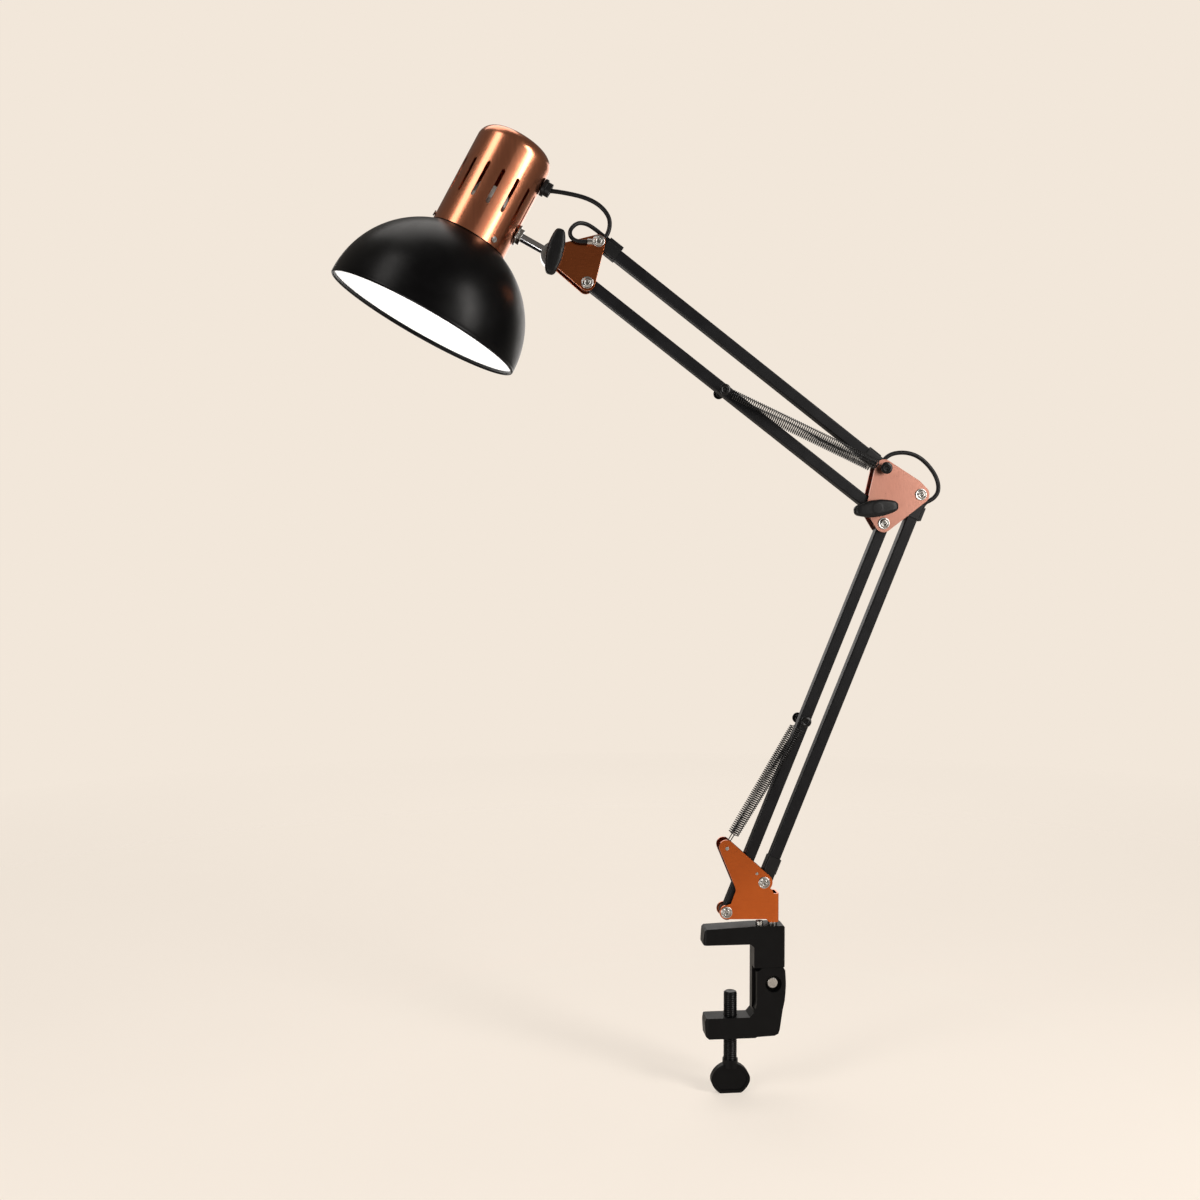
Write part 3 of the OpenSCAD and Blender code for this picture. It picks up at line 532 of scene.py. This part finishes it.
def make_cords():
    """Each cord as a tube along its route; the head cord has a short end piece and the elbow cord is
    cut in two halves.
    """
    path = smooth_path(HEAD_ROUTE)
    main, end = split_at(path, length_of(path) - HEAD_CORD_END * MM)
    cord = cord_piece("head_cord_run", main, CORD_R, ["head_cord"])
    tail = cord_piece("head_cord_tail", end, CORD_R, [])
    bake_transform(cord)
    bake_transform(tail)

    path = smooth_path(EARTH_ROUTE)
    cord = cord_piece("earth_lead_run", path, EARTH_R, ["earth_lead"])
    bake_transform(cord)

    path = smooth_path(ELBOW_ROUTE)
    first, second = split_at(path, length_of(path) * 0.5)
    for name, part, bodies, nodes_in in (
            ("elbow_cord_upper", first, ("upper_arm", "elbow"), ["elbow_cord"]),
            ("elbow_cord_lower", second, ("elbow", "lower_link"), [])):
        cord = cord_piece(name, part, CORD_R, nodes_in)
        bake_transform(cord)


make_cords()

# ---------------------------------------------------------------- springs

# Wire diameter, radii of the wire's centreline in coil and eye, and pitch, in millimetres
WIRE, COIL_R, EYE_R, PITCH = 0.85, 3.5, 2.9, 1.8

# The eye is 15 degrees short of a full turn
EYE_FROM, EYE_SWEEP, EYE_STEPS = -75, 345, 21

# Points to a turn of the coil, and to the half turn over which it grows to its full radius
TURN_STEPS, GROW_STEPS = 14, 7.0

# Gap in millimetres between the wire's part on the axis and the eye or coil it joins
LEAD = 1.2

# Point of the wire from which it may be cut, past the first eye
CUT_FROM = 30

# Pivot to pivot lengths in millimetres, and where along them the spring pins are
LOWER_ARM, LOWER_PIN_AT = 350.0, 0.492
UPPER_ARM, UPPER_PIN_AT = 301.0, 0.53


def spring_path(p, q, set_p, set_q):
    """Centreline of a spring's wire from eye to eye, and the spring's axis.

    set_p and set_q are the distances in millimetres from each eye's middle to the coil.
    """
    axis = (q - p).normalized()
    across = (Vector((0, 1, 0)) - axis * axis.y).normalized()
    flat = across.cross(axis)
    span = (q - p).length / MM
    eye = []
    for k in range(EYE_STEPS + 1):
        a = math.radians(EYE_FROM + EYE_SWEEP * k / EYE_STEPS)
        eye.append((EYE_R * math.sin(a), 0.0, EYE_R * -math.cos(a)))
    eye_p = [(x, y, -z) for x, y, z in reversed(eye)]
    eye_q = [(x, y, span + z) for x, y, z in eye]
    run = []
    turns = (span - set_p - set_q) / PITCH
    steps = int(turns * TURN_STEPS)
    for k in range(steps + 1):
        grow = min(1.0, k / GROW_STEPS, (steps - k) / GROW_STEPS)
        r = COIL_R * grow
        a = math.tau * turns * k / steps
        run.append((r * math.cos(a), r * math.sin(a), set_p + PITCH * turns * k / steps))
    line = eye_p + [(0, 0, EYE_R + LEAD), (0, 0, set_p - LEAD)] + run
    line += [(0, 0, span - set_q + LEAD), (0, 0, span - EYE_R - LEAD)] + eye_q
    return [p + MM * (x * flat + y * across + z * axis) for x, y, z in line], axis


def make_spring(name, node, p, q, set_p, set_q, cuts):
    """A coiled spring cut into lengths at the given shares of its span."""
    path, axis = spring_path(p, q, set_p, set_q)
    span = (q - p).length
    share = [(v - p).dot(axis) / span for v in path]

    edges = [0] + [next(i for i, s in enumerate(share) if i > CUT_FROM and s >= c) for c in cuts]
    edges.append(len(path) - 1)
    for k, (i, j) in enumerate(zip(edges, edges[1:])):
        obj = object_from(f"{name}_{k + 1}", tube(path[i:j + 1], WIRE / 2, 8))
        finish_piece(obj, None, "spring_black", [node] if k == 0 else [], 60.0)
        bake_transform(obj)


anchor = point(-4.4, 80.6)
pin_a = a0 + lower_dir * LOWER_ARM * LOWER_PIN_AT * MM
pin_l = l1 + upper_dir * UPPER_ARM * UPPER_PIN_AT * MM
for side, label in ((-1, "front"), (1, "back")):
    make_spring(f"lower_spring_{label}_coil", f"lower_spring_{label}",
                anchor + Vector((0, side * 3.2 * MM, 0)), pin_a + Vector((0, side * 9.6 * MM, 0)),
                12, 7, (0.14, 0.45))
    make_spring(f"upper_spring_{label}_coil", f"upper_spring_{label}",
                u1 + Vector((0, side * 11.6 * MM, 0)), pin_l + Vector((0, side * 9.6 * MM, 0)),
                7, 7, (0.1, 0.4))

# ---------------------------------------------------------------- pivots and screws

PIVOT_THREAD = 0.7
WING_THREAD = 0.8


def turned(p):
    """Frame at a pivot with local +Z pointing to the front."""
    z = Vector((0, -1, 0))
    x = Vector((1, 0, 0))
    rot = Matrix((x, z.cross(x), z)).transposed().to_4x4()
    return Matrix.Translation(Vector((p.x, 0, p.z))) @ rot


def pivot_profile(lift):
    """Hollow rivet-like bolt: bore, rolled head, stepped washer, shank and threaded end."""
    face = PLATE_OUT + lift
    rows = [(0, face - 0.4), (1.25, face - 0.4), (1.5, face - 0.1), (1.5, face + 1.5)]
    rows += arc(2.25, face + 1.25, 0.72, 170, 20, 6)
    rows += [(3.3, face + 1.15), (3.5, face + 0.95), (3.5, face + 0.82)]
    rows += [(3.75, face + 0.62), (4.2, face + 0.78), (4.6, face + 0.8), (4.85, face + 0.66),
             (4.9, face + 0.4), (4.9, face + 0.04), (4.8, face), (2.2, face)]
    back = -(PLATE_OUT + 4.6)
    rows += [(2.2, -(PLATE_OUT - 0.4))]
    z = -(PLATE_OUT - 0.4)
    while z > back + 0.9:
        rows += [(2.2, z - 0.12), (1.95, z - 0.4)]
        z -= PIVOT_THREAD
    rows += [(2.1, back + 0.35), (1.7, back), (0, back)]
    return rows


def pivots(name, node, places):
    parts = [lathe(pivot_profile(lift), turned(p), 40) for p, lift in places]
    finish_piece(object_from(name, join(parts)), body_of(node), "zinc_steel", [node], 40.0)


pivots("base_rivets", "base_pivot_bolts", [(a0, 0), (b0, 0)])
pivots("elbow_rivets", "elbow_pivot_bolts", [(a1, 0), (b1, 0)])
pivots("head_rivets", "head_pivot_bolts", [(u0, 0.7), (l0, 0)])


def spring_pin(node, p, half, r):
    """Cross pin with a dished disc pressed on each end."""
    end = [(0, half - 1.3), (1.2, half - 1.2), (1.7, half - 0.5), (2.2, half - 0.1),
           (2.9, half + 0.1), (3.3, half - 0.15), (r - 0.6, half - 0.2), (r - 0.15, half - 0.45),
           (r, half - 0.8), (r - 0.15, half - 1.6), (2, half - 1.6)]
    rows = end + [(radius, -y) for radius, y in reversed(end)]
    obj = object_from(node + "_turned", lathe(rows, turned(p), 40))
    finish_piece(obj, body_of(node), "pin_black", [node], 40.0)


spring_pin("lower_spring_pin", pin_a, 14.9, 4.6)
spring_pin("upper_spring_pin", pin_l, 14.9, 4.6)
spring_pin("elbow_spring_pin", u1, 14.6, 5.0)


def wing_bolt_profile():
    """Thread end in front, fixed washer, shank, and a domed head behind."""
    front = PLATE_OUT + 10
    rows = [(0, front), (1.9, front), (2.3, front - 0.5)]
    z = front - 0.5
    while z > front - 6:
        rows += [(2.5, z - 0.2), (2.2, z - 0.45)]
        z -= WING_THREAD
    rows += [(2.5, PLATE_OUT + 3), (2.5, PLATE_OUT + 1), (5.8, PLATE_OUT + 1), (6, PLATE_OUT + 0.85),
             (6, PLATE_OUT + 0.1), (5.9, PLATE_OUT + 0.05), (2.5, PLATE_OUT + 0.05)]
    back = -PLATE_OUT
    rows += [(2.5, back), (5.4, back), (5.6, back - 0.2)]
    rows += [(5.45, back - 0.8), (4.9, back - 1.5), (3.9, back - 2.05), (2.2, back - 2.35),
             (0, back - 2.4)]
    return rows


for node, p in (("elbow_wing_bolt", l1), ("head_wing_bolt", tilt)):
    obj = object_from(node + "_turned", lathe(wing_bolt_profile(), turned(p), 40))
    finish_piece(obj, body_of(node), "zinc_steel", [node], 40.0)


def make_clamp_screw():
    """Threaded rod with a rounded end on top and a plain neck below."""
    low, high, r, pitch, depth = -98.6, -41.3, 5.7, 1.75, 0.62
    end_length, end_drop = 1.6, 1.1
    segments, rows_per_turn = 32, 8
    bm = bmesh.new()
    rows = []
    count = int((high - low) / pitch * rows_per_turn)
    for i in range(count + 1):
        z = low + (high - low) * i / count
        row = []
        for k in range(segments):
            turn = k / segments
            phase = ((z - low) / pitch + turn) % 1.0
            groove = depth * abs(2 * phase - 1) ** 1.2
            near_top = max(0.0, (z - (high - end_length)) / end_length)
            rr = (r - groove - end_drop * near_top ** 2) * MM
            row.append(bm.verts.new((rr * math.cos(math.tau * turn),
                                     rr * math.sin(math.tau * turn), z * MM)))
        rows.append(row)
    skin(bm, rows)
    bm.faces.new(rows[-1])
    bm.faces.new(list(reversed(rows[0])))
    neck = lathe([(0, -100.6), (4.6, -100.6), (5, -100.2), (5, -98), (0, -98)],
                 Matrix.Identity(4), segments)
    obj = object_from("clamp_screw_thread", join([bm, neck]))
    finish_piece(obj, "clamp_feed", "screw_black", ["clamp_screw"], 50.0)


make_clamp_screw()

# ---------------------------------------------------------------- wing nuts

RING_POINTS = 20
SQUARENESS = 0.55
VOXEL = 0.42

# Sections of a wing: distance from the hub's middle, half width, near and far face
WING_STATIONS = [
    (0.5, 7.2, 2.2, 11.2), (5, 7.0, 2.1, 11.1), (9.5, 6.2, 2.0, 11.0), (13.5, 5.2, 1.9, 10.8),
    (16.4, 4.2, 2.2, 10.3), (18.0, 3.0, 3.0, 9.4), (18.7, 1.5, 4.4, 8.0),
]
HUB_PROFILE = [(0, 0), (6.6, 0), (7, 0.5), (7, 3), (6.4, 9), (5.4, 10.6), (4.4, 11.2), (0, 11.3)]


def wing_nut(node, p, turn_deg):
    """Moulded wing nut: round hub and two blunt wings, fused and smoothed."""
    y_seat = PLATE_OUT + 1.2
    place = Matrix.Translation(Vector((p.x, -y_seat * MM, p.z)))
    place = place @ Matrix.Rotation(math.radians(turn_deg), 4, "Y")
    parts = [lathe(HUB_PROFILE, place @ Matrix.Rotation(math.radians(90), 4, "X"), 40)]
    for side in (-1, 1):
        bm = bmesh.new()
        rings = []
        for x, half, near, far in WING_STATIONS:
            mid, tall = (near + far) / 2, (far - near) / 2
            ring = []
            for k in range(RING_POINTS):
                a = math.tau * k / RING_POINTS
                c, s = math.cos(a), math.sin(a)
                ring.append(bm.verts.new(place @ Vector((
                    side * x * MM,
                    -(mid + tall * abs(s) ** SQUARENESS * math.copysign(1, s)) * MM,
                    half * abs(c) ** SQUARENESS * math.copysign(1, c) * MM))))
            rings.append(ring)
        skin(bm, rings)
        bm.faces.new(rings[0])
        bm.faces.new(rings[-1])
        bmesh.ops.recalc_face_normals(bm, faces=bm.faces)
        parts.append(bm)
    obj = object_from(node + "_moulded", join(parts))
    remesh = obj.modifiers.new("fuse", "REMESH")
    remesh.mode = "VOXEL"
    remesh.voxel_size = VOXEL * MM
    smooth = obj.modifiers.new("smooth", "SMOOTH")
    smooth.factor = 0.5
    smooth.iterations = 6
    graph = bpy.context.evaluated_depsgraph_get()
    fused = bpy.data.meshes.new_from_object(obj.evaluated_get(graph))
    obj.modifiers.clear()
    obj.data = fused
    finish_piece(obj, body_of(node), "wing_black", [node], 80.0)


wing_nut("elbow_wing_nut", l1, -7)
wing_nut("head_wing_nut", tilt, -76)

# ---------------------------------------------------------------- head

SHADE_R, DOME_Z, NECK_Z, WALL = 81.8, 2.4, 78.0, 0.9
DOME_STEPS = 46


def make_shade():
    """Black dome turned with a rolled rim, its white lining, and the collar under the cap."""
    top = math.degrees(math.asin((NECK_Z - DOME_Z) / SHADE_R))
    low = math.degrees(math.asin((2.6 - DOME_Z) / SHADE_R))
    outer = arc(0, DOME_Z, SHADE_R, top, low, DOME_STEPS)
    bead = arc(SHADE_R - 1.2, 1.2, 1.2, 25, -200, 14)
    inner = arc(0, DOME_Z, SHADE_R - WALL, low + 0.8, top, DOME_STEPS)
    shape = outer + bead + inner
    collar = [(31.1, 76.5), (31.1, 86), (30.2, 86), (30.2, 77.5), (20.4, 77.5), (20.4, 76.5),
              (31.1, 76.5)]
    shell = lathe(shape + [shape[0]], HEAD, 160)
    ring = lathe(collar, HEAD, 96)
    obj = object_from("shade_turned", join([shell, ring]))
    finish_piece(obj, "head", "shade_black", ["shade"], 40.0)
    lining = arc(0, DOME_Z, SHADE_R - WALL - 0.05, 0.9, 61.5, DOME_STEPS)
    lining += arc(0, DOME_Z, SHADE_R - WALL - 0.45, 61.5, 0.9, DOME_STEPS)
    obj = object_from("shade_enamel", lathe(lining + [lining[0]], HEAD, 160))
    finish_piece(obj, "head", "enamel_white", ["shade_lining"], 40.0)


make_shade()

# ---------------------------------------------------------------- CAD nodes with rounded edges

# Width of the rounding in millimetres
ROUNDED = {
    "clamp_upper": 0.8, "clamp_lower": 0.8, "clamp_bolt": 0.35, "clamp_bolt_nut": 0.35,
    "lock_screw": 0.3, "thumb_key": 0.45, "base_bracket": 0.22, "base_pivot_nuts": 0.35,
    "elbow_pivot_nuts": 0.35, "head_pivot_nuts": 0.35, "base_cross_pins": 0.25,
    "lower_tube_a": 0.2, "lower_tube_b": 0.2, "upper_tube_u": 0.2, "upper_tube_l": 0.2,
    "lower_tube_a_plugs": 0.4, "upper_tube_l_plugs": 0.3, "lower_tube_b_sleeves": 0.35,
    "upper_tube_u_sleeves": 0.35, "elbow_plate_front": 0.22, "elbow_plate_back": 0.22,
    "head_plate_front": 0.22, "head_plate_back": 0.22, "earth_terminal": 0.12, "stem": 0.5,
    "stem_fasteners": 0.35, "cap": 0.16, "cap_screws": 0.35, "cord_gland": 0.35,
    "lamp_holder": 0.4, "holder_ring": 0.3,
}
for node, width in ROUNDED.items():
    softened(node, width)

# CAD nodes that stay in view keep their mesh and get their material here
replaced = {n for o in scene.objects for n in o.get("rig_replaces", [])}
for node, obj in nodes.items():
    if node not in replaced:
        obj.data.materials.clear()
        obj.data.materials.append(MATERIALS[slot_of[node]])

# ---------------------------------------------------------------- floor and world

FADE_START, FADE_END = 0.35, 1.9
FLOOR_LIT, FLOOR_SEEN = 0.3, 0.59
WORLD_LIT, WORLD_SEEN = 0.16, 1.0


def make_stage():
    """Pale floor that fades out away from the origin, and the world's colour behind it."""
    bm = bmesh.new()
    bmesh.ops.create_circle(bm, cap_ends=True, radius=4.0, segments=96)
    floor = object_from("floor", bm)
    floor.location = (0, 0, FLOOR_Z - 0.0002)
    s = Shader("floor")
    base = s.noise(3.0, 3.0)
    s.link(s.ramp(base, 0.3, 0.7, srgb(186, 179, 171), srgb(188, 181, 173)),
           s.bsdf.inputs["Base Color"])
    s.set(Roughness=0.9, Specular_IOR_Level=0.1, Emission_Color=srgb(243, 233, 221))
    seen = s.add("ShaderNodeLightPath").outputs["Is Camera Ray"]
    s.link(s.span(seen, 0, 1, FLOOR_LIT, FLOOR_SEEN), s.bsdf.inputs["Emission Strength"])
    clear = s.add("ShaderNodeBsdfTransparent")
    mixer = s.add("ShaderNodeMixShader")
    length = s.add("ShaderNodeVectorMath", operation="LENGTH")
    s.link(s.coords, length.inputs[0])
    s.link(s.span(length.outputs["Value"], FADE_START, FADE_END, 0.0, 1.0), mixer.inputs[0])
    s.link(s.bsdf.outputs[0], mixer.inputs[1])
    s.link(clear.outputs[0], mixer.inputs[2])
    s.link(mixer.outputs[0], s.out.inputs["Surface"])
    floor.data.materials.append(s.material)
    world = bpy.data.worlds.new("studio")
    scene.world = world
    world.use_nodes = True
    tree = world.node_tree
    background = tree.nodes["Background"]
    background.inputs["Color"].default_value = srgb(242, 231, 218)
    strength = tree.nodes.new("ShaderNodeMapRange")
    strength.inputs["To Min"].default_value = WORLD_LIT
    strength.inputs["To Max"].default_value = WORLD_SEEN
    path = tree.nodes.new("ShaderNodeLightPath")
    tree.links.new(path.outputs["Is Camera Ray"], strength.inputs["Value"])
    tree.links.new(strength.outputs["Result"], background.inputs["Strength"])
    scene.view_settings.view_transform = "Standard"


make_stage()
